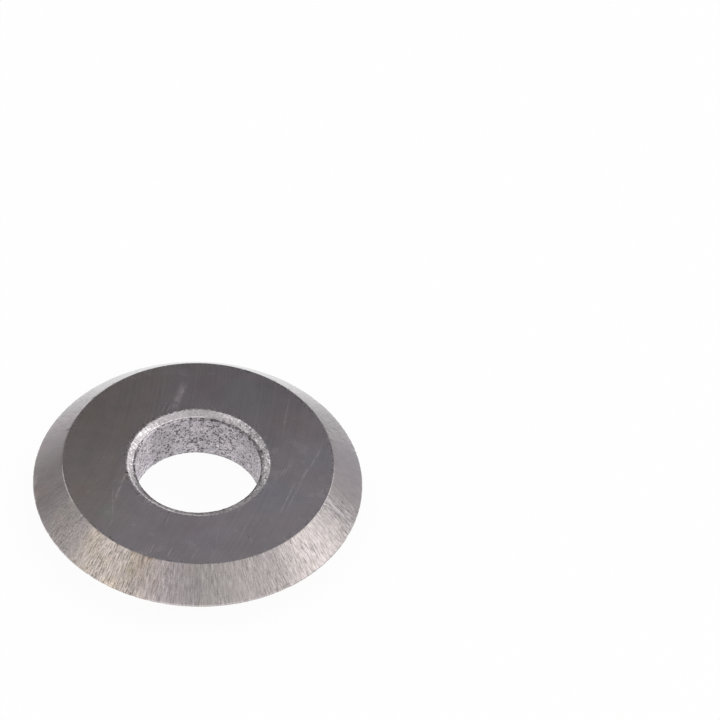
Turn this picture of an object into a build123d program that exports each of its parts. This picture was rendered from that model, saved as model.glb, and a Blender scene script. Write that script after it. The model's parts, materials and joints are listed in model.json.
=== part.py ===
from build123d import *
import math
import os

# A cutting wheel that scores ceramic tile: one sintered carbide disc with a ground V edge.
# The origin is at the centre of the bore, halfway between the faces, and +Z runs along the bore.

# Driving dimensions, in millimetres and degrees
edge_diameter = 16.0  # across the tip of the V
thickness = 2.9  # between the two ground faces
edge_angle = 90.0  # included angle of the V
edge_land = 0.08  # height of the narrow band left at the tip of the V
bore_diameter = 6.1  # the wall, 6 mm with running clearance
ledge_width = 0.05  # radial width of the small ledge at each end of the wall
ledge_height = 0.1  # from the ledge to the foot of the lead-in
ledge_draft = 12.0  # slope that the pressing punch leaves on the step above the ledge
lead_in_width = 0.345  # radial width of the shallow cone that opens to the face
lead_in_depth = 0.17  # from the face to the foot of the cone

# Sizes that follow from the driving dimensions
half_thickness = thickness / 2
half_land = edge_land / 2
edge_radius = edge_diameter / 2
bevel_width = (half_thickness - half_land) / math.tan(math.radians(edge_angle / 2))
face_radius = edge_radius - bevel_width
bore_radius = bore_diameter / 2
ledge_radius = bore_radius + ledge_width
foot_radius = ledge_radius + ledge_height * math.tan(math.radians(ledge_draft))
mouth_radius = foot_radius + lead_in_width
foot_level = half_thickness - lead_in_depth
ledge_level = foot_level - ledge_height


def upper_outline():
    # Half of the wheel's section, above the middle plane, from the bore's wall out to the edge
    return [
        (bore_radius, ledge_level),
        (ledge_radius, ledge_level),
        (foot_radius, foot_level),
        (mouth_radius, half_thickness),
        (face_radius, half_thickness),
        (edge_radius, half_land),
    ]


def cutting_wheel():
    # The lower half mirrors the upper one, so the wheel works either way up
    upper = upper_outline()
    lower = [(radius, -height) for radius, height in reversed(upper)]
    section = make_face(Polyline(*upper, *lower, close=True))
    return revolve(Plane.XZ * section, Axis.Z)


os.makedirs("parts", exist_ok=True)
export_step(cutting_wheel(), "parts/cutting_wheel.step")
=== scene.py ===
import bmesh
import bpy
import json
import math
from mathutils import Matrix, Vector


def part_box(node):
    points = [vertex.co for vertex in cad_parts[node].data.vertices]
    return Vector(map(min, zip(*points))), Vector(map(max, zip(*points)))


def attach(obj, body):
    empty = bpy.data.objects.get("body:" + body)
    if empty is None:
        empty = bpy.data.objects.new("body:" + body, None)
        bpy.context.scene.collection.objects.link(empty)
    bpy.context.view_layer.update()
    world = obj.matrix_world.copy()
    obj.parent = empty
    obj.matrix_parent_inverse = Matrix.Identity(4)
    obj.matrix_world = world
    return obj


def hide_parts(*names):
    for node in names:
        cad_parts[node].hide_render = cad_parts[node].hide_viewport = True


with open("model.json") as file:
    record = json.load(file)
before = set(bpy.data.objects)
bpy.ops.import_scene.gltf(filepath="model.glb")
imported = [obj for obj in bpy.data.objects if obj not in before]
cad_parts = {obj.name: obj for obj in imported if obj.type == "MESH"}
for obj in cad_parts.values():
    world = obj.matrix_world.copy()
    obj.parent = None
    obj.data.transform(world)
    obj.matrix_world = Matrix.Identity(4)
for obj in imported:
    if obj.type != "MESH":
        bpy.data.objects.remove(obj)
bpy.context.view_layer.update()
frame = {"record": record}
mm = 0.001  # one millimetre, in the frame's metres
hair = 0.001 * mm  # points nearer than this are at the same place

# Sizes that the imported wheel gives
low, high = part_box("cutting_wheel")
boreMount = next(m for m in frame["record"]["mounts"] if m["name"] == "bore")
edgeRadius = min(high.x, high.y, -low.x, -low.y)  # the frame's disc has flat facets
halfThickness = (high.z - low.z) / 2
boreRadius = boreMount["dims"]["r_mm"] * mm
ledgeLevel = boreMount["dims"]["length_mm"] * mm / 2


# Helpers for working in edit mode
def deselectEverything():
    for thing in bpy.context.selected_objects:
        thing.select_set(False)


def pick(piece, kind, wanted):  # selects only what wanted() says
    bpy.ops.mesh.select_mode(type=kind)
    bpy.ops.mesh.select_all(action="DESELECT")
    bm = bmesh.from_edit_mesh(piece.data)
    for item in {"VERT": bm.verts, "EDGE": bm.edges, "FACE": bm.faces}[kind]:
        if wanted(item):
            item.select_set(True)
    bm.select_flush_mode()
    bmesh.update_edit_mesh(piece.data)


def reach(point):  # distance from the line of the bore
    return math.hypot(point.x, point.y)


def onRing(vertex, ring):
    return abs(reach(vertex.co) - ring[0]) < hair and abs(vertex.co.z - ring[1]) < hair


# The wheel's shape
wheelShape = {
    "segments": 900,
    "edgeAngle": math.radians(90),
    "edgeLand": 0.08 * mm,
    "ledgeWidth": 0.05 * mm,
    "ledgeHeight": 0.1 * mm,
    "ledgeDraft": math.radians(12),
    "leadInWidth": 0.345 * mm,
    "mouthShift": (0.027 * mm, 0.002 * mm),  # the press stood a little off centre
    "footShift": (-0.028 * mm, 0.01 * mm),
    "rounding": {
        "wall": 0.015 * mm, "foot": 0.02 * mm, "mouth": 0.02 * mm, "face": 0.03 * mm, "tip": 0.012 * mm},
    "roundingCuts": {"wall": 2, "foot": 2, "mouth": 2, "face": 3, "tip": 2},
    "guard": 0.1 * mm,  # from a ground corner to the rings that keep its chips narrow
    "wallCuts": 36,
    "stretchCuts": {("foot", "mouth"): 5, ("mouth", "faceInside"): 3, ("faceOutside", "tipInside"): 5},
    "cornerSlack": 0.1,  # share of a stretch that the rounding may have moved its ends
    "leastStretch": 0.8,  # share of it that an edge crosses at least
    "bevelLap": 0.012 * mm,  # how far two of the finishes run over their corners
    "leadInLap": 0.005 * mm,
}


def wheelCorners(shape):  # the section's upper half, from the wall of the bore out to the tip of the V
    halfLand = shape["edgeLand"] / 2
    faceRadius = edgeRadius - (halfThickness - halfLand) / math.tan(shape["edgeAngle"] / 2)
    ledgeRadius = boreRadius + shape["ledgeWidth"]
    footRadius = ledgeRadius + shape["ledgeHeight"] * math.tan(shape["ledgeDraft"])
    guard, slope = shape["guard"], shape["edgeAngle"] / 2
    alongSlope = (guard * math.cos(slope), guard * math.sin(slope))
    return {
        "wall": (boreRadius, ledgeLevel),
        "ledge": (ledgeRadius, ledgeLevel),
        "foot": (footRadius, ledgeLevel + shape["ledgeHeight"]),
        "mouth": (footRadius + shape["leadInWidth"], halfThickness),
        "faceInside": (faceRadius - guard, halfThickness),
        "face": (faceRadius, halfThickness),
        "faceOutside": (faceRadius + alongSlope[0], halfThickness - alongSlope[1]),
        "tipInside": (edgeRadius - alongSlope[0], halfLand + alongSlope[1]),
        "tip": (edgeRadius, halfLand),
    }


def mirrored(ring):
    return (ring[0], -ring[1])


def turnWheel(shape, corners):  # one ring, drawn out from corner to corner and closed on itself
    upper = list(corners.values())
    lower = [mirrored(ring) for ring in reversed(upper)]
    rings = [lower[-1]] + upper + lower[:-1]
    deselectEverything()
    radius, level = rings[0]
    bpy.ops.mesh.primitive_circle_add(vertices=shape["segments"], radius=radius, location=(0, 0, level))
    piece = bpy.context.object
    piece.name = piece.data.name = "wheel"
    bpy.ops.object.transform_apply(location=True, rotation=True, scale=True)
    bpy.ops.object.mode_set(mode="EDIT")
    bpy.ops.mesh.select_mode(type="EDGE")
    bpy.ops.mesh.select_all(action="SELECT")
    for start, end in zip(rings, rings[1:]):
        bpy.ops.mesh.extrude_edges_move(TRANSFORM_OT_translate={"value": (0, 0, end[1] - start[1])})
        widen = end[0] / start[0]
        bpy.ops.transform.resize(value=(widen, widen, 1), center_override=(0, 0, 0))
    pick(piece, "EDGE", lambda edge: edge.is_boundary)
    bpy.ops.mesh.bridge_edge_loops()
    return piece


def roundCorners(piece, shape, corners):  # takes the sharpness off the rings, above and below
    for name, width in shape["rounding"].items():
        ring = corners[name]
        pick(piece, "EDGE", lambda e: all(onRing(v, ring) or onRing(v, mirrored(ring)) for v in e.verts)
             and abs(e.verts[0].co.z - e.verts[1].co.z) < hair)
        bpy.ops.mesh.bevel(offset=width, segments=shape["roundingCuts"][name], affect="EDGES")


def crosses(edge, shape, inner, outer):  # an edge that runs out from one corner to the next
    start, end = sorted(reach(vertex.co) for vertex in edge.verts)
    slack = shape["cornerSlack"] * math.dist(inner, outer)
    inside = start > inner[0] - slack and end < outer[0] + slack
    return inside and end - start > shape["leastStretch"] * abs(outer[0] - inner[0])


def cutStretches(piece, shape, corners):  # evenly spaced rings over the wide surfaces
    for (inner, outer), cuts in shape["stretchCuts"].items():
        pick(piece, "EDGE", lambda e: crosses(e, shape, corners[inner], corners[outer]))
        bpy.ops.mesh.subdivide(number_cuts=cuts)
    pick(piece, "EDGE", lambda e: abs(e.verts[0].co.z - e.verts[1].co.z) > ledgeLevel)
    bpy.ops.mesh.subdivide(number_cuts=shape["wallCuts"])


print("turning the wheel")
corners = wheelCorners(wheelShape)
wheel = turnWheel(wheelShape, corners)
roundCorners(wheel, wheelShape, corners)
cutStretches(wheel, wheelShape, corners)
bpy.ops.mesh.select_all(action="SELECT")
bpy.ops.mesh.normals_make_consistent(inside=False)
bpy.ops.object.mode_set(mode="OBJECT")

# What the press, the furnace and the grinder left on the shape
wheelWear = {
    "grain": {"size": 0.13 * mm, "depth": 0.03 * mm, "detail": 2},
    "lumps": {"size": 0.6 * mm, "depth": 0.02 * mm, "detail": 2},
    "ragged": {"size": 0.17 * mm, "depth": 0.09 * mm, "detail": {"X": 1, "Y": 2}},
    "raggedReach": 0.08 * mm,  # to each side of the mouth
    "faceChips": {"size": 0.2 * mm, "depth": 0.05 * mm, "from": 0.6, "to": 0.82},
    "tipChips": {"size": 0.15 * mm, "depth": 0.025 * mm, "from": 0.5, "to": 0.8},
    "chipDetail": 3,
    "chipReach": 0.04 * mm,  # to each side of a corner
}


def addGroup(piece, name, weightAt):  # weighted by distance from the bore's line and by height
    group = piece.vertex_groups.new(name=name)
    for vertex in piece.data.vertices:
        weight = weightAt(reach(vertex.co), abs(vertex.co.z))
        if weight > 0:
            group.add([vertex.index], weight, "REPLACE")


def cloudTexture(name, size, detail):
    texture = bpy.data.textures.new(name, "CLOUDS")
    texture.noise_scale = size
    texture.noise_depth = detail
    return texture


def displace(piece, group, texture, strength, middle=0.5, direction="NORMAL"):
    push = piece.modifiers.new(group, "DISPLACE")
    if texture:
        push.texture = texture
        push.texture_coords = "LOCAL"
    push.vertex_group = group
    push.strength = strength
    push.mid_level = middle
    push.direction = direction
    bpy.context.view_layer.objects.active = piece
    bpy.ops.object.modifier_apply(modifier=push.name)


def shiftLeadIns(piece, shape, corners):  # each cone leans from its foot's centre to its mouth's
    foot, mouth = corners["foot"][0], corners["mouth"][0]
    inner = (corners["wall"][0] + 2 * shape["rounding"]["wall"] + corners["ledge"][0]) / 2
    outer = mouth + 2 * shape["rounding"]["mouth"]

    def outwards(r):  # 0 at the foot and 1 at the mouth
        return min(max((r - foot) / (mouth - foot), 0.0), 1.0)

    addGroup(piece, "aroundMouth", lambda r, z: outwards(r) if r < outer else 0.0)
    lowest = ledgeLevel - hair
    addGroup(piece, "aroundFoot", lambda r, z: 1.0 - outwards(r) if r > inner and z > lowest else 0.0)
    for name, shift in (("aroundMouth", shape["mouthShift"]), ("aroundFoot", shape["footShift"])):
        for direction, distance in zip("XY", shift):
            if distance:
                displace(piece, name, None, distance, middle=0.0, direction=direction)


def wearWheel(piece, wear, corners):
    mouth, face, tip = (corners[name][0] for name in ("mouth", "face", "tip"))
    nearMouth = wear["raggedReach"]
    addGroup(piece, "sintered", lambda r, z: 1.0 if r < mouth - nearMouth else 0.0)
    addGroup(piece, "mouthRing", lambda r, z: 1.0 if abs(r - mouth) < nearMouth else 0.0)
    for name in ("grain", "lumps"):
        texture = cloudTexture(name, wear[name]["size"], wear[name]["detail"])
        displace(piece, "sintered", texture, wear[name]["depth"])
    for direction, detail in wear["ragged"]["detail"].items():
        ragged = cloudTexture("ragged" + direction, wear["ragged"]["size"], detail)
        displace(piece, "mouthRing", ragged, wear["ragged"]["depth"], direction=direction)
    for name, ring in (("faceChips", face), ("tipChips", tip)):
        chips = wear[name]
        addGroup(piece, name, lambda r, z: 1.0 if abs(r - ring) < wear["chipReach"] else 0.0)
        chipping = cloudTexture(name, chips["size"], wear["chipDetail"])
        chipping.use_color_ramp = True
        start, end = chipping.color_ramp.elements
        start.position, start.color = chips["from"], (0, 0, 0, 1)
        end.position, end.color = chips["to"], (1, 1, 1, 1)
        displace(piece, name, chipping, -chips["depth"], middle=0.0)


print("wearing the wheel")
shiftLeadIns(wheel, wheelShape, corners)
wearWheel(wheel, wheelWear, corners)
deselectEverything()
wheel.select_set(True)
bpy.ops.object.shade_smooth()
flatten = wheel.modifiers.new("flatten", "WEIGHTED_NORMAL")
flatten.mode = "FACE_AREA"
bpy.ops.object.modifier_apply(modifier=flatten.name)


# Node helpers
def wire(tree, node, inputs):  # an input is a value or another node's socket
    for key, value in inputs.items():
        if isinstance(value, bpy.types.NodeSocket):
            tree.links.new(value, node.inputs[key])
        else:
            node.inputs[key].default_value = value
    return node


def addNode(tree, kind, inputs, **settings):
    node = tree.nodes.new("ShaderNode" + kind)
    for name, value in settings.items():
        setattr(node, name, value)
    return wire(tree, node, inputs).outputs


def calc(tree, operation, *values):
    return addNode(tree, "Math", dict(enumerate(values)), operation=operation)[0]


def plus(tree, first, second):
    return calc(tree, "ADD", first, second)


def minus(tree, first, second):
    return calc(tree, "SUBTRACT", first, second)


def times(tree, first, second):
    return calc(tree, "MULTIPLY", first, second)


def calcVector(tree, operation, *values):
    return addNode(tree, "VectorMath", dict(enumerate(values)), operation=operation)[0]


def spread(tree, value, fromLow, fromHigh, toLow=0.0, toHigh=1.0):  # eased and clamped
    inputs = {"Value": value, "From Min": fromLow, "From Max": fromHigh, "To Min": toLow, "To Max": toHigh}
    return addNode(tree, "MapRange", inputs, interpolation_type="SMOOTHSTEP")[0]


def blend(tree, factor, first, second, mode="MIX"):
    return addNode(tree, "Mix", {0: factor, 6: first, 7: second}, data_type="RGBA", blend_type=mode)[2]


def toned(tree, colour, tone):  # the colour made lighter or darker by a number around 1
    grey = addNode(tree, "CombineXYZ", {"X": tone, "Y": tone, "Z": tone})[0]
    return blend(tree, 1.0, colour, grey, "MULTIPLY")


def noise(tree, place, scale, detail=2.0, roughness=0.5):
    inputs = {"Vector": place, "Scale": scale, "Detail": detail, "Roughness": roughness}
    return addNode(tree, "TexNoise", inputs)["Fac"]


def newGroup(name, inputs, outputs):
    tree = bpy.data.node_groups.new(name, "ShaderNodeTree")
    for label, kind in inputs.items():
        tree.interface.new_socket(name=label, in_out="INPUT", socket_type="NodeSocket" + kind)
    for label in outputs:
        tree.interface.new_socket(name=label, in_out="OUTPUT", socket_type="NodeSocketFloat")
    return tree, tree.nodes.new("NodeGroupInput").outputs, tree.nodes.new("NodeGroupOutput").inputs


def useGroup(tree, group, inputs):
    node = tree.nodes.new("ShaderNodeGroup")
    node.node_tree = group
    return wire(tree, node, inputs).outputs


def centred(tree, value):  # noise around 0
    return minus(tree, value, 0.5)


def plusShare(tree, tone, mask, share):
    return plus(tree, tone, times(tree, mask, share))


def moved(tree, place, shift):  # to another part of the same pattern
    return calcVector(tree, "ADD", place, shift)


def patches(tree, place, scale, detail, *levels):  # soft spots, spread between levels
    return spread(tree, noise(tree, place, scale, detail), *levels)


# Effects that several finishes share. Every Place is in millimetres.
grindingPattern = {
    "wander": {"Scale": 2.2, "Detail": 1.0},
    "fine": {"detail": 3.0, "roughness": 0.55},
    # squeeze, shift, roughness of the noise, and the levels between which it shows
    "Streaks": ((0.3, 0.3, 0.6), (7.1, 3.3, 5.7), 0.6, None),
    "Deep": ((0.75, 0.75, 0.35), (1.7, 9.2, 2.4), 0.5, (0.62, 0.74)),
    "Cuts": ((1.5, 1.5, 0.6), (8.3, 0.7, 6.1), 0.5, (0.30, 0.42, 1.0, 0.0)),
}


def makeGrindingMarks(pattern):  # along Z of Place; Streaks are broad, Deep few and light, Cuts thin and dark
    inputs = {"Place": "Vector", "Pitch": "Float", "Length": "Float", "Waviness": "Float"}
    tree, given, out = newGroup("grindingMarks", inputs, ("Fine", "Streaks", "Deep", "Cuts"))
    wander = addNode(tree, "TexNoise", {"Vector": given["Place"], **pattern["wander"]})["Color"]
    sway = calcVector(tree, "SUBTRACT", wander, (0.5, 0.5, 0.5))
    sway = calcVector(tree, "MULTIPLY", sway, addNode(tree, "CombineXYZ", {
        "X": given["Waviness"], "Y": given["Waviness"], "Z": given["Waviness"]})[0])
    across = calc(tree, "DIVIDE", 1.0, given["Pitch"])
    along = calc(tree, "DIVIDE", 1.0, given["Length"])
    squeeze = addNode(tree, "CombineXYZ", {"X": across, "Y": across, "Z": along})[0]
    place = calcVector(tree, "MULTIPLY", calcVector(tree, "ADD", given["Place"], sway), squeeze)
    tree.links.new(noise(tree, place, 1.0, **pattern["fine"]), out["Fine"])
    for name in ("Streaks", "Deep", "Cuts"):
        stretch, shift, roughness, levels = pattern[name]
        spot = moved(tree, calcVector(tree, "MULTIPLY", place, stretch), shift)
        marks = noise(tree, spot, 1.0, roughness=roughness)
        tree.links.new(spread(tree, marks, *levels) if levels else marks, out[name])
    return tree


def makeSlowMottle(levels):  # soft clouds, near 0 in some places and near 1 in others
    tree, given, out = newGroup("slowMottle", {"Place": "Vector", "Size": "Float"}, ("Mask",))
    scale = calc(tree, "DIVIDE", 1.0, given["Size"])
    tree.links.new(patches(tree, given["Place"], scale, 3.0, *levels), out["Mask"])
    return tree


pitShape = {
    "bendScale": 1.6,
    "bend": 0.9,  # how far from round
    "largest": 0.72,  # radius, as a share of the spacing
    "softness": 0.16,
}


def makePits(shape):  # roundish pits of many sizes; Fullness is the share of the cells that hold one
    inputs = {"Place": "Vector", "Spacing": "Float", "Fullness": "Float"}
    tree, given, out = newGroup("pits", inputs, ("Mask",))
    scale = calc(tree, "DIVIDE", 1.0, given["Spacing"])
    cells = addNode(tree, "VectorMath", {0: given["Place"], "Scale": scale}, operation="SCALE")[0]
    bend = calcVector(tree, "SUBTRACT", addNode(tree, "TexNoise", {
        "Vector": cells, "Scale": shape["bendScale"], "Detail": 1.0})["Color"], (0.5, 0.5, 0.5))
    bent = addNode(tree, "VectorMath", {
        0: bend, 1: [shape["bend"]] * 3, 2: cells}, operation="MULTIPLY_ADD")[0]
    nearest = addNode(tree, "TexVoronoi", {"Vector": bent, "Scale": 1.0, "Randomness": 1.0}, feature="F1")
    draw = addNode(tree, "SeparateColor", {0: nearest["Color"]})[0]
    radius = spread(tree, draw, minus(tree, 1.0, given["Fullness"]), 1.0, 0.0, shape["largest"])
    inside = minus(tree, radius, nearest["Distance"])
    tree.links.new(spread(tree, inside, 0.0, shape["softness"]), out["Mask"])
    return tree


def makeSingleScratch(solidAcross, solidAlong):  # one straight line with soft edges, on the upper side only
    tree, given, out = newGroup("singleScratch", {
        "Place": "Vector", "Middle": "Vector", "Turn": "Float", "Half Length": "Float", "Half Width": "Float",
    }, ("Mask",))
    offset = calcVector(tree, "SUBTRACT", given["Place"], given["Middle"])
    turned = addNode(tree, "VectorRotate", {
        "Vector": offset, "Angle": times(tree, given["Turn"], -1.0)}, rotation_type="Z_AXIS")[0]
    parts = addNode(tree, "SeparateXYZ", {0: turned})
    away = calc(tree, "DIVIDE", calc(tree, "ABSOLUTE", parts["Y"]), given["Half Width"])
    far = calc(tree, "DIVIDE", calc(tree, "ABSOLUTE", parts["X"]), given["Half Length"])
    narrow = spread(tree, away, solidAcross, 1.0, 1.0, 0.0)
    mask = times(tree, narrow, spread(tree, far, solidAlong, 1.0, 1.0, 0.0))
    above = addNode(tree, "SeparateXYZ", {0: given["Place"]})["Z"]
    tree.links.new(times(tree, mask, calc(tree, "GREATER_THAN", above, 0.0)), out["Mask"])
    return tree


print("making the finishes")
grindingMarks = makeGrindingMarks(grindingPattern)
slowMottle = makeSlowMottle(levels=(0.32, 0.68))
pits = makePits(pitShape)
singleScratch = makeSingleScratch(solidAcross=0.2, solidAlong=0.4)


def mottled(tree, place, size):
    return useGroup(tree, slowMottle, {"Place": place, "Size": size})["Mask"]


def pitted(tree, place, spacing, fullness):
    return useGroup(tree, pits, {"Place": place, "Spacing": spacing, "Fullness": fullness})["Mask"]


def scratched(tree, placeMm, middle, degrees, length, width):
    return useGroup(tree, singleScratch, {
        "Place": placeMm, "Middle": middle, "Turn": math.radians(degrees),
        "Half Length": length / 2, "Half Width": width / 2})["Mask"]


def newFinish(name):
    material = bpy.data.materials.new(name)
    material.use_nodes = True
    tree = material.node_tree
    shader = tree.nodes["Principled BSDF"]
    shader.inputs["Metallic"].default_value = 1.0
    place = addNode(tree, "TexCoord", {})["Object"]
    placeMm = calcVector(tree, "MULTIPLY", place, (1 / mm, 1 / mm, 1 / mm))
    return material, tree, shader, placeMm


def finishWith(tree, shader, colour, roughness, height, depth):
    bump = addNode(tree, "Bump", {"Height": height, "Distance": depth, "Strength": 1.0})[0]
    wire(tree, shader, {"Base Color": colour, "Roughness": roughness, "Normal": bump})


def around(tree, placeMm):  # distance from the bore's line, and the direction outwards
    flat = calcVector(tree, "MULTIPLY", placeMm, (1.0, 1.0, 0.0))
    length = addNode(tree, "VectorMath", {0: flat}, operation="LENGTH")["Value"]
    return length, calcVector(tree, "NORMALIZE", flat)


def mouthCentre():
    return (*(distance / mm for distance in wheelShape["mouthShift"]), 0.0)


def towards(tree, place, direction):  # how far a place lies in a direction
    return addNode(tree, "VectorMath", {0: place, 1: direction}, operation="DOT_PRODUCT")["Value"]


def facingSide(degrees):  # the flat direction at an angle round the wheel
    return (math.cos(math.radians(degrees)), math.sin(math.radians(degrees)), 0.0)


def nearSides(tree, outwards, value, changes):  # the value, multiplied near some angles: angle, reach, factor
    for side, width, factor in changes:
        inputs = (towards(tree, outwards, facingSide(side)), math.cos(math.radians(width)), 1.0, 1.0, factor)
        value = times(tree, value, spread(tree, *inputs))
    return value


def upperLevel(x, y):  # of the face, or of the flank outside it
    drop = (math.hypot(x, y) - corners["face"][0] / mm) / math.tan(wheelShape["edgeAngle"] / 2)
    return halfThickness / mm - max(drop, 0.0)


stainCore = 0.3  # share of a stain's radius that has its full tint


def tinted(tree, placeMm, colour, stains):  # soft round stains: middle x and y, radius in mm, tint
    for x, y, radius, tint in stains:
        middle = (x, y, upperLevel(x, y))
        away = addNode(tree, "VectorMath", {0: placeMm, 1: middle}, operation="DISTANCE")["Value"]
        share = spread(tree, away, stainCore * radius, radius, 1.0, 0.0)
        colour = blend(tree, share, colour, (*tint, 1), "MULTIPLY")
    return colour


# In the finishes, four numbers are two values and what they become, and two become 0 and 1. Patches
# start with the scale and detail of their noise. Pits, grit, sparkle, specks and the like are a spacing
# in mm and a fullness. A Towards is a direction, or else angles with a reach in degrees and a factor.

# The two flat faces: fine grinding, in the wide arcs that a cup wheel leaves
faceFinish = {
    # dark and light are the ends of a painted reflection across the face, lighter towards the front right;
    # the brown tint is painted reflection towards the back left
    "dark": (0.105, 0.093, 0.098, 1),
    "light": (0.173, 0.157, 0.170, 1),
    "fringe": (0.42, 0.40, 0.40, 1),  # bright grains, along the mouth of the lead-in
    "brownTint": (0.98, 0.955, 0.883, 1),
    "coolTint": (0.96, 0.99, 1.0, 1),
    "reflectionLighterTowards": facingSide(-72),
    "reflectionLightSlope": (-5.0, 4.5, 0.05, 0.8),  # over mm that way
    "reflectionBrownTowards": facingSide(170),
    "reflectionBrownSlope": (2.3, 4.3),
    "brownWander": (0.0, 1.0, -0.7, 0.7),
    "cloudSize": 2.4,
    "cloudShare": 0.15,
    "coolSize": 1.5,
    "coolShift": (2.0, 9.0, 4.0),
    "smallSize": 0.8,
    "smallTone": (0.0, 1.0, -0.025, 0.03),
    "stains": [
        (2.2, 4.3, 1.5, (0.97, 1.03, 1.02)), (6.0, 0.4, 1.4, (0.98, 1.0, 1.03)),
        (4.5, 2.7, 1.6, (1.01, 0.99, 0.99)), (0.5, 5.0, 1.1, (1.01, 0.985, 1.01)),
        (3.6, -2.1, 1.6, (0.97, 1.0, 1.02)), (-4.3, -3.4, 0.8, (0.97, 1.03, 1.03)),
        (-5.6, -1.9, 0.9, (1.015, 0.99, 0.975)), (2.2, -5.6, 1.0, (1.0, 1.0, 0.96)),
        (0.3, -4.4, 1.6, (1.01, 0.99, 1.0)),
    ],
    "arcCentre": (-25.0, 7.2, 0.0),
    "pitch": 0.085,
    "length": 7.0,
    "waviness": 0.02,
    "fineTone": (0.25, 0.75, 0.945, 1.055),
    "streakTone": (0.4, 0.75, 0.0, 0.02),
    "dashPitch": 0.06,
    "dashLength": 0.35,
    "dashShare": 0.04,
    "dashesTowards": [(335, 55, 3.5), (95, 30, 1.8)],
    "worn": (3.5, 2.0, 0.36, 0.54, 0.3, 1.15),  # patches in which the scratches fade
    "grit": (0.085, 0.7),
    "gritDepth": 6.0,
    "shift": (3.0, 8.0, 1.0),  # to the part of the pattern that gives the sparkle and the specks
    "sparkle": (0.085, 0.6),
    "sparkleShare": 0.8,
    "specks": (0.45, 0.12),
    "speckShare": 0.1,
    "grain": (11.0, 1.0),
    "grainShare": 0.2,
    "edgeGrainShare": 1.2,
    "mouthBand": (0.35, 0.9),  # width in mm and strength of the grit along an edge
    "mouthPatches": (0.9, 1.0, 0.4, 0.62, 0.4, 1.0),
    "rimBand": (0.3, 0.5),
    "rimPatches": (0.7, 1.0, 0.4, 0.6, 0.3, 1.0),
    "brightRimTowards": facingSide(150),
    "brightRimShare": (-0.7, 0.4, 0.3, 1.0),
    "fringeBand": (0.02, 0.1, 0.9),  # from and to in mm off the mouth, and strength
    "fringePatches": (12.0, 1.0, 0.47, 0.56),
    "fringeShare": (0.2, 0.7, 0.12, 1.0),
    "roughness": (0.2, 0.8, 0.34, 0.42),
    "bumpDepth": 0.0004 * mm,
    # middle x, middle y, turn in degrees, length, width in mm, and how much lighter
    "scratches": [
        (-1.02, 4.35, 74, 2.4, 0.55, 0.38), (-0.80, 4.85, 75, 1.0, 0.08, 0.55),
        (-1.16, 4.0, 76, 1.0, 0.10, 0.22), (-3.73, -1.68, 74, 2.3, 0.16, 0.42),
        (-3.9, -2.1, 78, 3.2, 0.7, 0.07), (-4.07, -2.7, 91, 2.6, 0.09, 0.20),
        (-4.14, -4.14, 71, 1.0, 0.08, 0.22), (-4.54, 0.15, 10, 0.4, 0.08, 0.22),
        (4.25, 3.5, 82, 2.0, 0.09, 0.26), (4.12, 2.3, 88, 1.6, 0.10, 0.12),
        (2.9, 2.43, 91, 0.6, 0.06, 0.30), (4.85, -1.54, 69, 4.0, 0.08, 0.28),
        (5.1, -0.7, 66, 1.4, 0.09, 0.36), (5.62, 0.32, 67, 2.0, 0.13, 0.24),
        (4.32, -2.26, 71, 2.6, 0.09, 0.40), (4.09, -0.51, 64, 0.8, 0.09, 0.42),
        (4.35, -0.2, 68, 1.6, 0.09, 0.28), (4.7, -1.05, 68, 1.8, 0.5, 0.05),
        (5.24, -2.42, 179, 0.9, 0.06, 0.16), (5.3, -2.2, 172, 0.6, 0.06, -0.14),
        (2.26, -4.32, 70, 1.4, 0.08, 0.20), (0.64, -5.43, 119, 1.1, 0.08, 0.12),
        (2.62, -4.92, 117, 0.35, 0.09, 0.34), (2.5, -4.75, 117, 0.35, 0.09, -0.20),
        (-1.44, -3.86, 72, 0.8, 0.07, 0.28), (-1.52, -3.88, 72, 0.8, 0.07, -0.22),
        (-2.12, -5.65, 70, 0.9, 0.07, 0.42), (-2.3, -5.75, 70, 0.7, 0.06, 0.25),
        (-1.25, -5.83, 68, 0.8, 0.07, 0.42), (0.85, -5.9, 63, 1.2, 0.08, 0.16),
        (1.0, -4.8, 87, 1.6, 0.09, 0.12), (-1.5, 3.5, 74, 0.7, 0.06, 0.32),
        (-1.62, 3.52, 74, 0.7, 0.06, -0.25), (-1.75, 3.5, 74, 0.7, 0.06, 0.28),
        (-1.88, 3.45, 73, 0.6, 0.06, -0.2), (-2.02, 3.4, 72, 0.6, 0.06, 0.25),
        (0.9, 5.4, 84, 1.2, 0.06, 0.14), (-0.05, -5.9, 66, 1.1, 0.1, 0.24), (5.9, 1.2, 76, 1.6, 0.12, 0.12),
    ],
}


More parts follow.
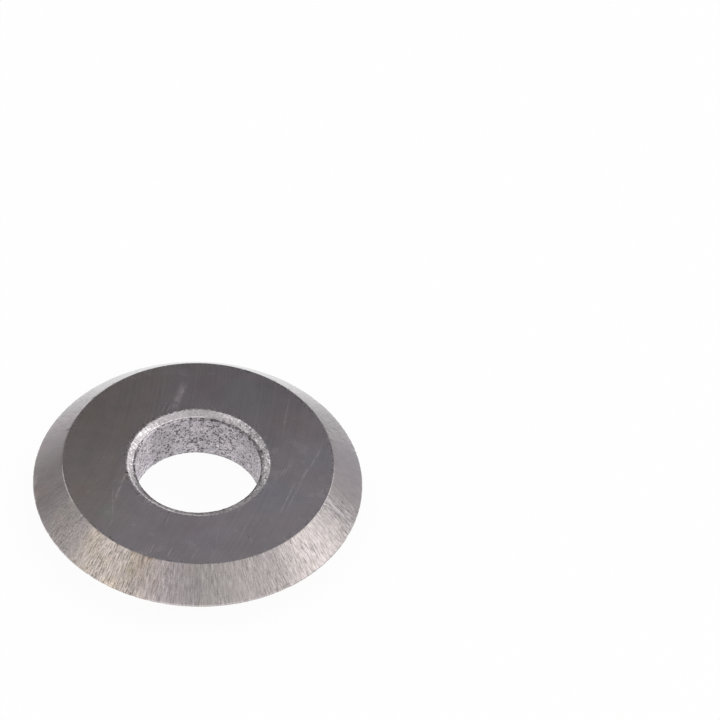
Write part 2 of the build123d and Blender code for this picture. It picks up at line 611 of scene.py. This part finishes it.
def makeGroundFace(finish):
    material, tree, shader, placeMm = newFinish("groundFace")
    fromBore, outwards = around(tree, placeMm)
    fromCentre = calcVector(tree, "SUBTRACT", placeMm, finish["arcCentre"])
    parts = addNode(tree, "SeparateXYZ", {0: fromCentre})
    angle = calc(tree, "ARCTAN2", parts["Y"], parts["X"])
    along = times(tree, angle, math.hypot(*finish["arcCentre"]))
    arcs = addNode(tree, "CombineXYZ", {"X": around(tree, fromCentre)[0], "Y": parts["Z"], "Z": along})[0]
    marks = useGroup(tree, grindingMarks, {
        "Place": arcs, "Pitch": finish["pitch"], "Length": finish["length"], "Waviness": finish["waviness"]})
    dashes = useGroup(tree, grindingMarks, {
        "Place": arcs, "Pitch": finish["dashPitch"], "Length": finish["dashLength"],
        "Waviness": finish["waviness"]})["Deep"]

    # painted reflection: the face lighter towards the front right and browner towards the back left, broken
    # up by clouds
    cloud = mottled(tree, placeMm, finish["cloudSize"])
    brownReflectionAndCloud = plus(tree, towards(tree, placeMm, finish["reflectionBrownTowards"]), spread(
        tree, cloud, *finish["brownWander"]))
    brownReflectionAndCloud = spread(tree, brownReflectionAndCloud, *finish["reflectionBrownSlope"])
    paintedReflectionAndCloud = spread(tree, towards(tree, placeMm, finish["reflectionLighterTowards"]), *finish["reflectionLightSlope"])
    paintedReflectionAndCloud = plusShare(tree, paintedReflectionAndCloud, cloud, finish["cloudShare"])
    coolness = mottled(tree, moved(tree, placeMm, finish["coolShift"]), finish["coolSize"])
    colour = blend(tree, paintedReflectionAndCloud, finish["dark"], finish["light"])
    colour = blend(tree, brownReflectionAndCloud, colour, finish["brownTint"], "MULTIPLY")
    colour = blend(tree, coolness, colour, finish["coolTint"], "MULTIPLY")
    colour = tinted(tree, placeMm, colour, finish["stains"])

    small = mottled(tree, placeMm, finish["smallSize"])
    tone = spread(tree, marks["Fine"], *finish["fineTone"])
    tone = plus(tree, tone, spread(tree, marks["Streaks"], *finish["streakTone"]))
    tone = plus(tree, tone, spread(tree, small, *finish["smallTone"]))
    dashShare = nearSides(tree, outwards, finish["dashShare"], finish["dashesTowards"])
    tone = plusShare(tree, tone, dashes, dashShare)
    worn = patches(tree, placeMm, *finish["worn"])
    for x, y, turn, length, width, lighter in finish["scratches"]:
        mask = scratched(tree, placeMm, (x, y, 0.0), turn, length, width)
        tone = plusShare(tree, tone, times(tree, mask, worn), lighter)

    mouth, rim = corners["mouth"][0] / mm, corners["face"][0] / mm
    elsewhere = moved(tree, placeMm, finish["shift"])
    reachOut, strength = finish["mouthBand"]
    nearMouth = times(tree, spread(tree, fromBore, mouth, mouth + reachOut, strength, 0.0), patches(
        tree, placeMm, *finish["mouthPatches"]))
    nearMouth = times(tree, nearMouth, spread(
        tree, towards(tree, outwards, finish["brightRimTowards"]), *finish["brightRimShare"]))
    reachIn, strength = finish["rimBand"]
    nearRim = times(tree, spread(tree, fromBore, rim - reachIn, rim, 0.0, strength), patches(
        tree, placeMm, *finish["rimPatches"]))
    nearEdges = plus(tree, nearMouth, nearRim)
    dark = times(tree, nearEdges, pitted(tree, placeMm, *finish["grit"]))
    tone = times(tree, tone, minus(tree, 1.0, dark))
    sparkle = times(tree, nearEdges, pitted(tree, elsewhere, *finish["sparkle"]))
    tone = plusShare(tree, tone, sparkle, finish["sparkleShare"])
    grain = centred(tree, noise(tree, placeMm, *finish["grain"]))
    grainShare = times(tree, nearEdges, finish["edgeGrainShare"])
    grainShare = plus(tree, grainShare, finish["grainShare"])
    tone = plusShare(tree, tone, grainShare, grain)
    tone = plusShare(tree, tone, pitted(tree, elsewhere, *finish["specks"]), finish["speckShare"])

    fromPress, pressSide = around(tree, calcVector(tree, "SUBTRACT", placeMm, mouthCentre()))
    start, end, strength = finish["fringeBand"]
    fringe = times(tree, spread(tree, fromPress, mouth + start, mouth + end, strength, 0.0), patches(
        tree, placeMm, *finish["fringePatches"]))
    fringe = times(tree, fringe, spread(
        tree, towards(tree, pressSide, finish["brightRimTowards"]), *finish["fringeShare"]))
    colour = blend(tree, fringe, toned(tree, colour, tone), finish["fringe"])
    roughness = spread(tree, marks["Fine"], *finish["roughness"])
    height = minus(tree, marks["Fine"], times(tree, dark, finish["gritDepth"]))
    finishWith(tree, shader, colour, roughness, height, finish["bumpDepth"])
    return material


# The flanks of the V: coarser grinding, from the face out to the tip
bevelFinish = {
    "plain": (0.244, 0.224, 0.230, 1),
    # angle round the wheel, reach in degrees, tint: painted reflection colours near these angles
    "reflectionTints": [
        (148, 30, (1.03, 0.98, 1.05)), (172, 28, (1.02, 0.955, 0.93)), (200, 18, (1.0, 0.985, 0.955)),
        (214, 13, (1.03, 1.0, 0.945)), (238, 20, (1.10, 1.035, 0.87)), (257, 14, (1.05, 1.0, 1.01)),
        (304, 62, (1.11, 1.10, 1.035)), (24, 45, (1.015, 0.98, 1.04))],
    "reflectionTintFullAt": 0.99,  # how near the angle, as a cosine
    "reflectionTintPatches": (0.0, 0.8, 1.0, 0.5),
    "reflectionTintPatchSize": 1.1,
    "reflectionTintShift": (11.0, 4.0, 0.0),
    "pitch": 0.048,
    "length": 0.42,
    "waviness": 0.02,
    "wavyTowards": [(221, 43, 4.0)],
    "strengthSize": 1.7,
    "strength": (0.1, 0.8, 0.8, 1.2),
    "smoothTowards": [(facingSide(182), 0.87), (facingSide(2), 0.955)],  # and how near it starts
    "smoothFullAt": 0.985,
    "smoothing": 0.7,
    "crispTowards": [(240, 24, 1.35), (275, 20, 0.6), (330, 15, 1.3), (140, 18, 1.4), (22, 24, 1.3)],
    "dulledTowards": [(203, 24, 0.65)],
    "grainyTowards": [(207, 28, 2.1)],
    "grain": (12.0, 1.0),
    "grainShare": 0.6,
    "fineShare": 2.2,
    "streakTone": (0.3, 0.7, -0.05, 0.05),
    "deepShare": 0.15,
    "deepTowards": [(230, 24, 2.4)],
    "cutShare": 0.16,
    "roughness": 0.36,
    "fineRoughness": (0.2, 0.8, -0.05, 0.05),
    "oilRoughness": 0.14,
    "film": (-0.2, 0.12, 0.65, 1.0),  # of oil, over the fine marks
    "fineDepth": 2.0,
    "streakDepth": 0.6,
    "bumpDepth": 0.0010 * mm,
    "tipBand": (0.04, 0.01),  # from and to in mm off the tip
    "tipShade": 1.2,
    "litTipTowards": [(270, 75, 1.45)],
    # painted light: the outermost stretch of the flank made lighter, most towards the front
    "paintedRimLight": 0.03,  # how much lighter the outermost stretch is
    "paintedRimLightWidth": 0.38,
    "paintedRimLightTowards": [(270, 80, 3.4), (246, 14, 2.6), (318, 14, 1.8)],
    # painted light and shade: angle round the wheel, reach in degrees, factor
    "paintedLightAndShade": [
        (22, 28, 0.86), (21, 7, 1.12), (56, 22, 1.08), (142, 24, 1.12), (170, 22, 0.83), (186, 7, 1.12),
        (197, 13, 1.09), (225, 12, 1.05), (248.5, 9, 0.83), (259, 12, 1.15), (275, 7, 1.08), (309, 9, 0.95),
        (329, 10, 1.03), (339.5, 11, 1.26)],
    # angle round the wheel, distance from the bore's line, radius in mm, tint
    "stains": [
        (245.2, 7.28, 0.36, (0.82, 0.84, 0.78)), (248.4, 6.9, 0.3, (0.86, 0.85, 0.84)),
        (242.7, 6.64, 0.16, (0.88, 0.80, 0.70)), (250.6, 6.62, 0.2, (0.86, 0.80, 0.74)),
        (204.0, 7.1, 0.4, (0.97, 1.0, 0.95)),
    ],
    "glints": [(195, 14, 1.9), (351, 12, 1.5)],
    "glintBand": (0.01, 0.05),  # from and to in mm off the face
    "glintPatches": (7.0, 1.0, 0.35, 0.6, 0.3, 1.2),
    "filmTowards": [(90, 60, 1.3), (14, 40, 0.75), (165, 34, 0.75)],
    # single marks: angle round the wheel, from radius, to radius, width in mm, and how much lighter
    "gouges": [
        (340.9, 6.5, 7.7, 0.09, 0.95), (343.5, 7.35, 7.95, 0.07, 0.5), (337.0, 7.35, 7.95, 0.06, 0.35),
        (334.0, 7.1, 7.9, 0.06, 0.25), (342.2, 6.95, 7.65, 0.07, -0.6), (321.5, 6.7, 7.5, 0.07, -0.35),
        (248.0, 6.6, 7.1, 0.07, -0.4), (251.0, 6.7, 7.3, 0.05, -0.3), (49.0, 6.55, 7.2, 0.07, -0.35),
        (76.5, 6.55, 7.9, 0.06, -0.4), (162.0, 6.9, 7.6, 0.06, 0.3), (155.0, 6.8, 7.3, 0.05, 0.35),
        (204.0, 6.78, 7.02, 0.1, -0.45),
    ],
}


def makeGroundBevel(finish):
    material, tree, shader, placeMm = newFinish("groundBevel")
    shader.inputs["Coat Roughness"].default_value = finish["oilRoughness"]
    fromBore, outwards = around(tree, placeMm)
    level = addNode(tree, "SeparateXYZ", {0: placeMm})["Z"]
    slant = addNode(tree, "CombineXYZ", {"Z": times(tree, level, math.sqrt(2))})[0]
    radial = calcVector(tree, "ADD", addNode(tree, "VectorMath", {
        0: outwards, "Scale": edgeRadius / mm}, operation="SCALE")[0], slant)
    waviness = nearSides(tree, outwards, finish["waviness"], finish["wavyTowards"])
    marks = useGroup(tree, grindingMarks, {
        "Place": radial, "Pitch": finish["pitch"], "Length": finish["length"], "Waviness": waviness})

    # painted reflection: tints near some angles round the wheel, broken up by patches
    cloud = mottled(tree, moved(tree, placeMm, finish["reflectionTintShift"]), finish["reflectionTintPatchSize"])
    colour = finish["plain"]
    for side, width, tint in finish["reflectionTints"]:
        start = math.cos(math.radians(width))
        share = spread(tree, towards(tree, outwards, facingSide(side)), start, finish["reflectionTintFullAt"])
        share = times(tree, share, spread(tree, cloud, *finish["reflectionTintPatches"]))
        colour = blend(tree, share, colour, (*tint, 1), "MULTIPLY")
    stains = [(*(far * share for share in facingSide(side)[:2]), radius, tint)
              for side, far, radius, tint in finish["stains"]]
    colour = tinted(tree, placeMm, colour, stains)

    smoothed = calc(tree, "MAXIMUM", *(
        spread(tree, towards(tree, outwards, side), start, finish["smoothFullAt"])
        for side, start in finish["smoothTowards"]))
    crispness = minus(tree, 1.0, times(tree, smoothed, finish["smoothing"]))
    strength = spread(tree, mottled(tree, placeMm, finish["strengthSize"]), *finish["strength"])
    strength = times(tree, strength, crispness)
    strength = nearSides(tree, outwards, strength, finish["crispTowards"])
    grain = times(tree, centred(tree, noise(tree, placeMm, *finish["grain"])), strength)
    grain = nearSides(tree, outwards, grain, finish["grainyTowards"])
    strength = nearSides(tree, outwards, strength, finish["dulledTowards"])
    fine = times(tree, centred(tree, marks["Fine"]), strength)
    tone = plus(tree, times(tree, fine, finish["fineShare"]), 1.0)
    tone = plusShare(tree, tone, grain, finish["grainShare"])
    tone = plus(tree, tone, spread(tree, marks["Streaks"], *finish["streakTone"]))
    deepShare = nearSides(tree, outwards, finish["deepShare"], finish["deepTowards"])
    tone = plusShare(tree, tone, marks["Deep"], deepShare)
    cuts = times(tree, times(tree, marks["Cuts"], strength), finish["cutShare"])
    tone = minus(tree, tone, cuts)
    for side, inner, outer, width, lighter in finish["gouges"]:
        middle = [share * (inner + outer) / 2 for share in facingSide(side)]
        mask = scratched(tree, placeMm, middle, side, outer - inner, width)
        tone = plusShare(tree, tone, mask, lighter)

    tip, rim = edgeRadius / mm, corners["face"][0] / mm
    start, end = finish["tipBand"]
    tipShade = nearSides(tree, outwards, finish["tipShade"], finish["litTipTowards"])
    tipTone = spread(tree, fromBore, tip - start, tip - end, 1.0, tipShade)
    # painted light along the outermost stretch, mostly at the front
    rimLight = nearSides(tree, outwards, finish["paintedRimLight"], finish["paintedRimLightTowards"])
    tipTone = plus(tree, tipTone, spread(tree, fromBore, tip - finish["paintedRimLightWidth"], tip, 0.0, rimLight))
    # painted light and shade near some angles round the wheel
    tone = nearSides(tree, outwards, times(tree, tone, tipTone), finish["paintedLightAndShade"])
    start, end = finish["glintBand"]
    glint = minus(tree, nearSides(tree, outwards, 1.0, finish["glints"]), 1.0)
    glint = times(tree, glint, spread(tree, fromBore, rim + start, rim + end, 1.0, 0.0))
    glint = times(tree, glint, patches(tree, placeMm, *finish["glintPatches"]))
    tone = plus(tree, tone, glint)

    roughness = plus(tree, spread(tree, marks["Fine"], *finish["fineRoughness"]), finish["roughness"])
    streaks = times(tree, marks["Streaks"], finish["streakDepth"])
    height = plus(tree, times(tree, fine, finish["fineDepth"]), streaks)
    film = nearSides(tree, outwards, spread(tree, fine, *finish["film"]), finish["filmTowards"])
    wire(tree, shader, {"Coat Weight": calc(tree, "MINIMUM", film, 1.0)})
    finishWith(tree, shader, toned(tree, colour, tone), roughness, height, finish["bumpDepth"])
    return material


# The bore's wall: grey from the furnace, and full of pores
boreFinish = {
    "ground": (0.585, 0.553, 0.585, 1),
    "pore": (0.13, 0.12, 0.13, 1),
    "poreSpacing": 0.105,
    "poreShare": 0.85,
    "porousTowards": facingSide(90),
    "fullness": (0.5, 1.0, 0.45, 0.88),
    "cloudSize": 0.9,
    "cloudFullness": (0.0, 1.0, -0.2, 0.25),
    "grain": (9.0, 2.0, 0.6),
    "grainTone": (0.3, 0.7, 0.8, 1.12),
    "patchTone": (2.8, 1.0, 0.35, 0.65, -0.06, 0.06),
    "shift": (4.0, 6.0, 2.0),  # to the part of the pattern that gives the flecks and the blotches
    "flecks": (0.13, 0.4),
    "fleckShare": 0.2,
    "blotches": (0.3, 0.8),
    "blotchShare": 0.13,
    "blotchyTowards": [(94, 18, 2.4)],
    "grit": (14.0, 1.0),
    "gritShare": 1.2,
    "grittyTowards": [(18, 28, 1.7)],
    # painted light and shade: angle round the wheel, reach in degrees, factor
    "paintedLightAndShade": [(165, 35, 1.2), (36, 22, 0.86), (80, 16, 0.92), (126, 18, 0.9)],
    # painted shadow of the step: a dark band on the step and ledge that fades down the wall
    "ledgeShadowWidth": 0.05,  # of the dark line along the ledge, in mm
    "ledgeShadowDepth": 0.8,
    "ledgeShadowNoise": (3.0, 2.0, 0.6),
    "shadowLineGaps": (0.42, 0.58, 0.5, 1.0),
    "faintLedgeShadowTowards": [(125, 45, 0.2)],
    "roughness": (0.2, 0.8, 0.47, 0.65),
    "bumpDepth": 0.006 * mm,
}


def makeSinteredBore(finish):
    material, tree, shader, placeMm = newFinish("sinteredBore")
    outwards = around(tree, placeMm)[1]
    elsewhere = moved(tree, placeMm, finish["shift"])
    fullness = spread(tree, towards(tree, outwards, finish["porousTowards"]), *finish["fullness"])
    fullness = plus(tree, fullness, spread(
        tree, mottled(tree, placeMm, finish["cloudSize"]), *finish["cloudFullness"]))
    pore = pitted(tree, placeMm, finish["poreSpacing"], fullness)
    colour = blend(tree, times(tree, pore, finish["poreShare"]), finish["ground"], finish["pore"])
    grain = noise(tree, placeMm, *finish["grain"])
    tone = spread(tree, grain, *finish["grainTone"])
    tone = plus(tree, tone, patches(tree, placeMm, *finish["patchTone"]))
    tone = plusShare(tree, tone, pitted(tree, elsewhere, *finish["flecks"]), finish["fleckShare"])
    blotchShare = nearSides(tree, outwards, finish["blotchShare"], finish["blotchyTowards"])
    tone = minus(tree, tone, times(
        tree, pitted(tree, elsewhere, *finish["blotches"]), blotchShare))
    grit = times(tree, centred(tree, noise(tree, placeMm, *finish["grit"])), finish["gritShare"])
    tone = plus(tree, tone, nearSides(tree, outwards, grit, finish["grittyTowards"]))
    # painted light and shade near some angles round the wheel
    tone = nearSides(tree, outwards, tone, finish["paintedLightAndShade"])
    # painted shadow of the step along the ledge, fainter towards the back left and broken by gaps
    level = calc(tree, "ABSOLUTE", addNode(tree, "SeparateXYZ", {0: placeMm})["Z"])
    ledge = ledgeLevel / mm
    line = spread(tree, level, ledge - finish["ledgeShadowWidth"], ledge, 0.0, finish["ledgeShadowDepth"])
    line = nearSides(tree, outwards, line, finish["faintLedgeShadowTowards"])
    line = times(tree, line, spread(
        tree, noise(tree, placeMm, *finish["ledgeShadowNoise"]), *finish["shadowLineGaps"]))
    tone = times(tree, tone, minus(tree, 1.0, line))
    roughness = spread(tree, grain, *finish["roughness"])
    height = minus(tree, grain, pore)
    finishWith(tree, shader, toned(tree, colour, tone), roughness, height, finish["bumpDepth"])
    return material


# The pressed lead-ins: bright broken grain
leadInFinish = {
    "bright": (0.512, 0.484, 0.498, 1),
    # dark colour of the pores, and of the painted shade towards the front
    "darkPoresAndShade": (0.221, 0.206, 0.216, 1),
    # colour of the painted shadow along the foot
    "line": (0.10, 0.092, 0.098, 1),
    "pores": (0.1, 0.75),
    "poreDepth": 0.6,
    "grittyTowards": facingSide(10),
    "poreShare": (-0.8, 0.6, 0.3, 0.95),
    # painted shade: the lead-in darker towards the front
    "paintedShadeTowards": facingSide(275),
    "paintedShadeShare": (0.35, 0.9, 0.0, 0.45),
    "grain": (12.0, 1.0, 0.5),
    "grainTone": (0.3, 0.7, -0.19, 0.19),
    "plainTone": 0.93,
    "smoothTowards": [(92, 42, 0.35)],
    "sparkle": (0.11, 0.6),
    "sparkleShift": (5.0, 2.0, 7.0),
    "sparkleShare": 0.45,
    "sparklingTowards": [(10, 45, 2.0), (168, 30, 1.8), (92, 40, 0.3)],
    # the painted shadow line along the foot
    "footShadowPatches": (0.7, 2.0, 0.4, 0.62, 0.035, 0.16),  # they give its width in mm
    "footShadowFade": (0.3, 1.1, 1.0, 0.0),
    "shadowLineGaps": (6.0, 1.0, 0.36, 0.56, 0.25, 0.95),
    "footShadowTowards": facingSide(38),
    "footShadowShare": (0.7, 0.95, 0.1, 1.0),
    "footShadowOnShadedSide": (-0.1, 0.3),
    # the lit stretches along the mouth and the foot
    "litEdgeTowards": facingSide(235),
    "litEdgeBand": (0.11, 0.06, -0.15, 0.36),  # from and to in mm inside the mouth, and the tone
    "litEdgeShare": (0.6, 0.9),
    "litFootTowards": facingSide(110),
    "litFootBand": (0.02, 0.07, 0.8),  # from and to in mm outside the foot, and the tone
    "litFootPatches": (6.0, 1.0, 0.4, 0.55, 0.2, 1.0),
    "litFootShare": (0.87, 0.95),
    # painted light and shade: angle round the wheel, reach in degrees, factor
    "paintedLightAndShade": [
        (30, 28, 0.74), (90, 20, 0.82), (120, 16, 0.88), (152, 16, 1.08), (182, 14, 1.2),
        (212, 14, 0.82), (241, 16, 1.35), (270, 18, 1.3), (334, 22, 0.75)],
    "roughness": (0.2, 0.8, 0.32, 0.52),
    "bumpDepth": 0.010 * mm,
}


def makePressedLeadIn(finish):
    material, tree, shader, placeMm = newFinish("pressedLeadIn")
    fromBore, outwards = around(tree, placeMm)
    mouth, foot = corners["mouth"][0] / mm, corners["foot"][0] / mm
    shadedSide = towards(tree, outwards, finish["paintedShadeTowards"])
    grain = noise(tree, placeMm, *finish["grain"])
    coarse = nearSides(tree, outwards, 1.0, finish["smoothTowards"])
    pore = pitted(tree, placeMm, *finish["pores"])
    share = times(tree, pore, spread(
        tree, towards(tree, outwards, finish["grittyTowards"]), *finish["poreShare"]))
    colour = blend(tree, times(tree, share, coarse), finish["bright"], finish["darkPoresAndShade"])
    # painted shade: the lead-in blended darker towards the front
    colour = blend(tree, spread(tree, shadedSide, *finish["paintedShadeShare"]), colour, finish["darkPoresAndShade"])

    # painted shadow along the foot, stronger towards the right and on the shaded front
    width = patches(tree, placeMm, *finish["footShadowPatches"])
    outFromFoot = calc(tree, "DIVIDE", minus(tree, fromBore, foot), width)
    line = times(tree, spread(tree, outFromFoot, *finish["footShadowFade"]), patches(
        tree, placeMm, *finish["shadowLineGaps"]))
    footShadowShare = spread(tree, towards(tree, outwards, finish["footShadowTowards"]), *finish["footShadowShare"])
    footShadowShare = calc(tree, "MAXIMUM", footShadowShare, spread(tree, shadedSide, *finish["footShadowOnShadedSide"]))
    colour = blend(tree, times(tree, line, footShadowShare), colour, finish["line"])

    sparkle = pitted(tree, moved(tree, placeMm, finish["sparkleShift"]), *finish["sparkle"])
    sparkleShare = nearSides(tree, outwards, finish["sparkleShare"], finish["sparklingTowards"])
    tone = times(tree, spread(tree, grain, *finish["grainTone"]), coarse)
    tone = plusShare(tree, plus(tree, tone, finish["plainTone"]), sparkle, sparkleShare)
    fromPress = around(tree, calcVector(tree, "SUBTRACT", placeMm, mouthCentre()))[0]
    start, end, least, most = finish["litEdgeBand"]
    litEdge = spread(tree, fromPress, mouth - start, mouth - end, least, most)
    litShare = spread(tree, towards(tree, outwards, finish["litEdgeTowards"]), *finish["litEdgeShare"])
    tone = plusShare(tree, tone, litEdge, litShare)
    start, end, most = finish["litFootBand"]
    litFoot = times(tree, spread(tree, fromBore, foot + start, foot + end, most, 0.0), patches(
        tree, placeMm, *finish["litFootPatches"]))
    litShare = spread(tree, towards(tree, outwards, finish["litFootTowards"]), *finish["litFootShare"])
    tone = plusShare(tree, tone, litFoot, litShare)
    # painted light and shade near some angles round the wheel
    tone = nearSides(tree, outwards, tone, finish["paintedLightAndShade"])
    roughness = spread(tree, grain, *finish["roughness"])
    height = minus(tree, grain, times(tree, pore, finish["poreDepth"]))
    finishWith(tree, shader, toned(tree, colour, tone), roughness, height, finish["bumpDepth"])
    return material


def dressWheel(piece):
    finishes = [makeGroundFace(faceFinish), makeGroundBevel(bevelFinish), makeSinteredBore(boreFinish),
                makePressedLeadIn(leadInFinish)]
    face, bevel, bore, leadIn = range(len(finishes))
    for material in finishes:
        piece.data.materials.append(material)
    shift = Vector((*wheelShape["mouthShift"], 0))
    for polygon in piece.data.polygons:
        fromPress = reach(polygon.center - shift)
        if reach(polygon.center) > corners["face"][0] - wheelShape["bevelLap"]:
            polygon.material_index = bevel
        elif fromPress > corners["mouth"][0] + wheelShape["leadInLap"]:
            polygon.material_index = face
        elif abs(polygon.center.z) > corners["foot"][1] - wheelShape["rounding"]["foot"]:
            polygon.material_index = leadIn
        else:
            polygon.material_index = bore


dressWheel(wheel)

# Floor, light and camera
studio = {
    "floorSize": 2.0,
    "floorGap": 0.01 * mm,  # keeps the lower face clear of the floor
    "floorColour": (0.82, 0.82, 0.82, 1),
    "floorWhiteness": 0.95,
    "daylight": 0.85,
    # name, direction, distance, width, height, glow, colour
    "lamps": [
        ("rightBox", (0.87, -0.12, 0.42), 0.6, 0.36, 0.30, 2.1, (1.0, 0.96, 0.95)),
        ("leftBox", (-0.69, -0.42, 0.57), 0.6, 0.50, 0.26, 1.25, (1.0, 0.94, 0.88)),
        ("frontRightBox", (0.48, -0.60, 0.63), 0.6, 0.30, 0.25, 0.7, (1.0, 0.96, 0.95)),
        ("highBox", (0.62, 0.31, 0.72), 0.6, 0.3, 0.3, 1.2, (1.0, 0.98, 0.97)),
    ],
    # name, direction, distance, width, height, grey
    "cards": [
        ("leftCard", (-0.78, 0.6, 0.12), 0.5, 0.36, 0.18, 0.36),
        ("backCard", (-0.05, 1.0, 0.08), 0.5, 0.5, 0.13, 0.35),
    ],
    "cardRoughness": 0.9,
}


def whiteRays(tree):  # 1 for the rays that should see a white studio
    path = addNode(tree, "LightPath", {})
    seen = calc(tree, "MAXIMUM", path["Is Camera Ray"], path["Is Glossy Ray"])
    return calc(tree, "MAXIMUM", seen, path["Is Transmission Ray"])


def makeFloor(settings):
    deselectEverything()
    level = -halfThickness - settings["floorGap"]
    bpy.ops.mesh.primitive_plane_add(size=settings["floorSize"], location=(0, 0, level))
    floor = bpy.context.object
    floor.name = "floor"
    material = bpy.data.materials.new("paleFloor")
    material.use_nodes = True
    tree = material.node_tree
    tree.nodes.remove(tree.nodes["Principled BSDF"])
    matt = addNode(tree, "BsdfDiffuse", {"Color": settings["floorColour"]})[0]
    white = addNode(tree, "Emission", {"Color": (1, 1, 1, 1), "Strength": 1.0})[0]
    share = times(tree, whiteRays(tree), settings["floorWhiteness"])
    mixed = addNode(tree, "MixShader", {0: share, 1: matt, 2: white})[0]
    tree.links.new(mixed, tree.nodes["Material Output"].inputs["Surface"])
    floor.data.materials.append(material)


def makeWorld(settings):
    world = bpy.data.worlds.new("studio")
    bpy.context.scene.world = world
    world.use_nodes = True
    tree = world.node_tree
    background = tree.nodes["Background"]
    background.inputs["Color"].default_value = (1, 1, 1, 1)
    inputs = {"Value": whiteRays(tree), "To Min": settings["daylight"], "To Max": 1.0}
    strength = addNode(tree, "MapRange", inputs)[0]
    tree.links.new(strength, background.inputs["Strength"])


def facing(direction):  # turns +Z of a lamp's or card's frame away from the wheel
    return Vector(direction).to_track_quat("Z", "Y")


def hangLamps(settings):
    for name, direction, distance, width, height, glow, colour in settings["lamps"]:
        lamp = bpy.data.lights.new(name, "AREA")
        lamp.shape = "RECTANGLE"
        lamp.size, lamp.size_y = width, height
        lamp.energy = glow * math.pi * width * height
        lamp.color = colour
        holder = bpy.data.objects.new(name, lamp)
        holder.location = Vector(direction).normalized() * distance
        holder.rotation_mode = "QUATERNION"
        holder.rotation_quaternion = facing(direction)
        bpy.context.scene.collection.objects.link(holder)


def standCards(settings):
    for name, direction, distance, width, height, grey in settings["cards"]:
        deselectEverything()
        bpy.ops.mesh.primitive_plane_add(size=1.0, location=Vector(direction).normalized() * distance)
        card = bpy.context.object
        card.name = name
        card.scale = (width, height, 1)
        card.rotation_mode = "QUATERNION"
        card.rotation_quaternion = facing(direction)
        card.visible_camera = False
        card.visible_shadow = False
        card.visible_diffuse = False
        material = bpy.data.materials.new(name + "Paint")
        material.use_nodes = True
        shader = material.node_tree.nodes["Principled BSDF"]
        shader.inputs["Base Color"].default_value = (grey, grey, grey, 1)
        shader.inputs["Roughness"].default_value = settings["cardRoughness"]
        card.data.materials.append(material)


cameraPlace = {
    "distance": 388.58 * mm,
    "elevation": math.radians(47.83),
    "aim": Vector((7.8414, 8.4148, 0)) * mm,  # to the wheel's right and behind it, so that it sits lower left
    "roll": math.radians(2.6716),
    "lens": 400,
    "sensor": 36,
    "clip": (0.01, 10),
}


def placeCamera(place):
    data = bpy.data.cameras.new("camera")
    data.lens = place["lens"]
    data.sensor_width = place["sensor"]
    data.clip_start, data.clip_end = place["clip"]
    camera = bpy.data.objects.new("camera", data)
    bpy.context.scene.collection.objects.link(camera)
    eye = Vector((0, -math.cos(place["elevation"]), math.sin(place["elevation"]))) * place["distance"]
    turn = (place["aim"] - eye).to_track_quat("-Z", "Y").to_matrix().to_4x4()
    camera.matrix_world = Matrix.Translation(eye) @ turn @ Matrix.Rotation(place["roll"], 4, "Z")
    bpy.context.scene.camera = camera


print("setting up the studio")
makeFloor(studio)
makeWorld(studio)
hangLamps(studio)
standCards(studio)
placeCamera(cameraPlace)
bpy.context.scene.view_settings.view_transform = "Standard"

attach(wheel, "root")
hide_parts("cutting_wheel")
triangles = sum(len(polygon.vertices) - 2 for polygon in wheel.data.polygons)
print("the wheel has", triangles, "triangles")
